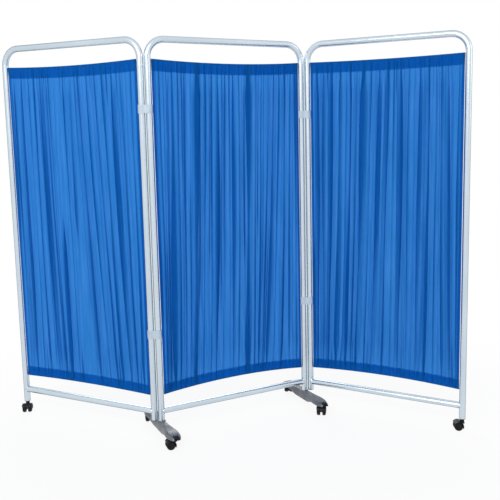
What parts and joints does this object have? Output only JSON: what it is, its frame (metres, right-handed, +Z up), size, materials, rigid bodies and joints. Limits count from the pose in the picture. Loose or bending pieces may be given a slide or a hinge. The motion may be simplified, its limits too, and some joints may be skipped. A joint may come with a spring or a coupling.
{
  "type": "folding ward privacy screen on casters",
  "caption": "Folding ward screen: hooped tube panels joined by double snap clips, gathered curtains on sprung wires, twin-wheel swivel casters and cross feet with brake pedals.",
  "frame": {"origin": "on the floor, at the centre of the bounding box seen from above", "axes": "+Z up, +X along the middle panel towards the right-hand wing, -Y the front of the middle panel, where the brake pedals are"},
  "size_m": [1.7152, 1.2732, 1.748],
  "materials": {
    "frame": "silver-white powder coat, satin gloss",
    "cloth": "plain woven polyester, gathered",
    "wire": "bright plated spring",
    "clip": "moulded, light grey",
    "foot": "cast, satin silver-grey",
    "screw": "zinc plated",
    "black_plastic": "moulded, black",
    "wheel": "black tread"
  },
  "bodies": {
    "middle_frame": {"middle_hoop": "frame", "middle_bottom_rail": "frame", "middle_curtain": "cloth", "middle_upper_wire": "wire", "middle_lower_wire": "wire", "left_foot": "foot", "right_foot": "foot", "left_socket_screw": "screw", "right_socket_screw": "screw", "left_front_caster_stem": "screw", "left_rear_caster_stem": "screw", "right_front_caster_stem": "screw", "right_rear_caster_stem": "screw"},
    "left_hinge": {"left_upper_hinge_clip": "clip", "left_lower_hinge_clip": "clip"},
    "right_hinge": {"right_upper_hinge_clip": "clip", "right_lower_hinge_clip": "clip"},
    "left_wing": {"left_hoop": "frame", "left_bottom_rail": "frame", "left_curtain": "cloth", "left_upper_wire": "wire", "left_lower_wire": "wire", "left_end_plug": "black_plastic", "left_caster_socket": "black_plastic", "left_wing_caster_stem": "screw"},
    "right_wing": {"right_hoop": "frame", "right_bottom_rail": "frame", "right_curtain": "cloth", "right_upper_wire": "wire", "right_lower_wire": "wire", "right_end_plug": "black_plastic", "right_caster_socket": "black_plastic", "right_wing_caster_stem": "screw"},
    "left_front_swivel": {"left_front_caster_hood": "black_plastic"},
    "left_front_wheel_a": {"left_front_caster_wheel_a": "wheel"},
    "left_front_wheel_b": {"left_front_caster_wheel_b": "wheel"},
    "left_rear_swivel": {"left_rear_caster_hood": "black_plastic"},
    "left_rear_wheel_a": {"left_rear_caster_wheel_a": "wheel"},
    "left_rear_wheel_b": {"left_rear_caster_wheel_b": "wheel"},
    "right_front_swivel": {"right_front_caster_hood": "black_plastic"},
    "right_front_wheel_a": {"right_front_caster_wheel_a": "wheel"},
    "right_front_wheel_b": {"right_front_caster_wheel_b": "wheel"},
    "right_rear_swivel": {"right_rear_caster_hood": "black_plastic"},
    "right_rear_wheel_a": {"right_rear_caster_wheel_a": "wheel"},
    "right_rear_wheel_b": {"right_rear_caster_wheel_b": "wheel"},
    "left_wing_swivel": {"left_wing_caster_hood": "black_plastic"},
    "left_wing_wheel_a": {"left_wing_caster_wheel_a": "wheel"},
    "left_wing_wheel_b": {"left_wing_caster_wheel_b": "wheel"},
    "right_wing_swivel": {"right_wing_caster_hood": "black_plastic"},
    "right_wing_wheel_a": {"right_wing_caster_wheel_a": "wheel"},
    "right_wing_wheel_b": {"right_wing_caster_wheel_b": "wheel"},
    "left_pedal": {"left_brake_pedal": "black_plastic"},
    "right_pedal": {"right_brake_pedal": "black_plastic"}
  },
  "joints": [
    {"name": "left_hinge_fold", "type": "hinge", "parent": "middle_frame", "child": "left_hinge", "pos_m": [-0.34592, 0.01631, 0.9545], "axis": [0, 0, 1], "range_deg": [-53.6, 106.4]},
    {"name": "left_wing_fold", "type": "hinge", "parent": "left_hinge", "child": "left_wing", "pos_m": [-0.37368, 0.03009, 0.9545], "axis": [0, 0, 1], "range_deg": [-53.6, 106.4]},
    {"name": "right_hinge_fold", "type": "hinge", "parent": "middle_frame", "child": "right_hinge", "pos_m": [0.39808, 0.01631, 0.9685], "axis": [0, 0, 1], "range_deg": [-52.05, 107.95]},
    {"name": "right_wing_fold", "type": "hinge", "parent": "right_hinge", "child": "right_wing", "pos_m": [0.42547, 0.00178, 0.9685], "axis": [0, 0, 1], "range_deg": [-52.05, 107.95]},
    {"name": "left_front_swivel_turn", "type": "hinge", "parent": "middle_frame", "child": "left_front_swivel", "pos_m": [-0.34592, -0.14169, 0.04], "axis": [0, 0, 1], "continuous": true},
    {"name": "left_rear_swivel_turn", "type": "hinge", "parent": "middle_frame", "child": "left_rear_swivel", "pos_m": [-0.34592, 0.17431, 0.04], "axis": [0, 0, 1], "continuous": true},
    {"name": "right_front_swivel_turn", "type": "hinge", "parent": "middle_frame", "child": "right_front_swivel", "pos_m": [0.39808, -0.14169, 0.04], "axis": [0, 0, 1], "continuous": true},
    {"name": "right_rear_swivel_turn", "type": "hinge", "parent": "middle_frame", "child": "right_rear_swivel", "pos_m": [0.39808, 0.17431, 0.04], "axis": [0, 0, 1], "continuous": true},
    {"name": "left_wing_swivel_turn", "type": "hinge", "parent": "left_wing", "child": "left_wing_swivel", "pos_m": [-0.82351, 0.62271, 0.04], "axis": [0, 0, 1], "continuous": true},
    {"name": "right_wing_swivel_turn", "type": "hinge", "parent": "right_wing", "child": "right_wing_swivel", "pos_m": [0.84258, -0.6143, 0.04], "axis": [0, 0, 1], "continuous": true},
    {"name": "left_front_wheel_a_spin", "type": "hinge", "parent": "left_front_swivel", "child": "left_front_wheel_a", "pos_m": [-0.36385, -0.14012, 0.01962], "axis": [-0.0872, -0.9962, 0], "continuous": true},
    {"name": "left_front_wheel_b_spin", "type": "hinge", "parent": "left_front_swivel", "child": "left_front_wheel_b", "pos_m": [-0.36385, -0.14012, 0.01962], "axis": [-0.0872, -0.9962, 0], "continuous": true},
    {"name": "left_rear_wheel_a_spin", "type": "hinge", "parent": "left_rear_swivel", "child": "left_rear_wheel_a", "pos_m": [-0.34279, 0.19204, 0.01962], "axis": [-0.9848, 0.1736, 0], "continuous": true},
    {"name": "left_rear_wheel_b_spin", "type": "hinge", "parent": "left_rear_swivel", "child": "left_rear_wheel_b", "pos_m": [-0.34279, 0.19204, 0.01962], "axis": [-0.9848, 0.1736, 0], "continuous": true},
    {"name": "right_front_wheel_a_spin", "type": "hinge", "parent": "right_front_swivel", "child": "right_front_wheel_a", "pos_m": [0.38776, -0.15644, 0.01962], "axis": [0.8192, -0.5736, 0], "continuous": true},
    {"name": "right_front_wheel_b_spin", "type": "hinge", "parent": "right_front_swivel", "child": "right_front_wheel_b", "pos_m": [0.38776, -0.15644, 0.01962], "axis": [0.8192, -0.5736, 0], "continuous": true},
    {"name": "right_rear_wheel_a_spin", "type": "hinge", "parent": "right_rear_swivel", "child": "right_rear_wheel_a", "pos_m": [0.40708, 0.1899, 0.01962], "axis": [-0.866, 0.5, 0], "continuous": true},
    {"name": "right_rear_wheel_b_spin", "type": "hinge", "parent": "right_rear_swivel", "child": "right_rear_wheel_b", "pos_m": [0.40708, 0.1899, 0.01962], "axis": [-0.866, 0.5, 0], "continuous": true},
    {"name": "left_wing_wheel_a_spin", "type": "hinge", "parent": "left_wing_swivel", "child": "left_wing_wheel_a", "pos_m": [-0.82966, 0.6058, 0.01962], "axis": [0.9397, -0.342, 0], "continuous": true},
    {"name": "left_wing_wheel_b_spin", "type": "hinge", "parent": "left_wing_swivel", "child": "left_wing_wheel_b", "pos_m": [-0.82966, 0.6058, 0.01962], "axis": [0.9397, -0.342, 0], "continuous": true},
    {"name": "right_wing_wheel_a_spin", "type": "hinge", "parent": "right_wing_swivel", "child": "right_wing_wheel_a", "pos_m": [0.82669, -0.60585, 0.01962], "axis": [-0.4695, -0.8829, 0], "continuous": true},
    {"name": "right_wing_wheel_b_spin", "type": "hinge", "parent": "right_wing_swivel", "child": "right_wing_wheel_b", "pos_m": [0.82669, -0.60585, 0.01962], "axis": [-0.4695, -0.8829, 0], "continuous": true},
    {"name": "left_pedal_press", "type": "hinge", "parent": "middle_frame", "child": "left_pedal", "pos_m": [-0.34592, -0.15769, 0.053], "axis": [1, 0, 0], "range_deg": [0, 8]},
    {"name": "right_pedal_press", "type": "hinge", "parent": "middle_frame", "child": "right_pedal", "pos_m": [0.39808, -0.15769, 0.053], "axis": [1, 0, 0], "range_deg": [0, 8]}
  ]
}
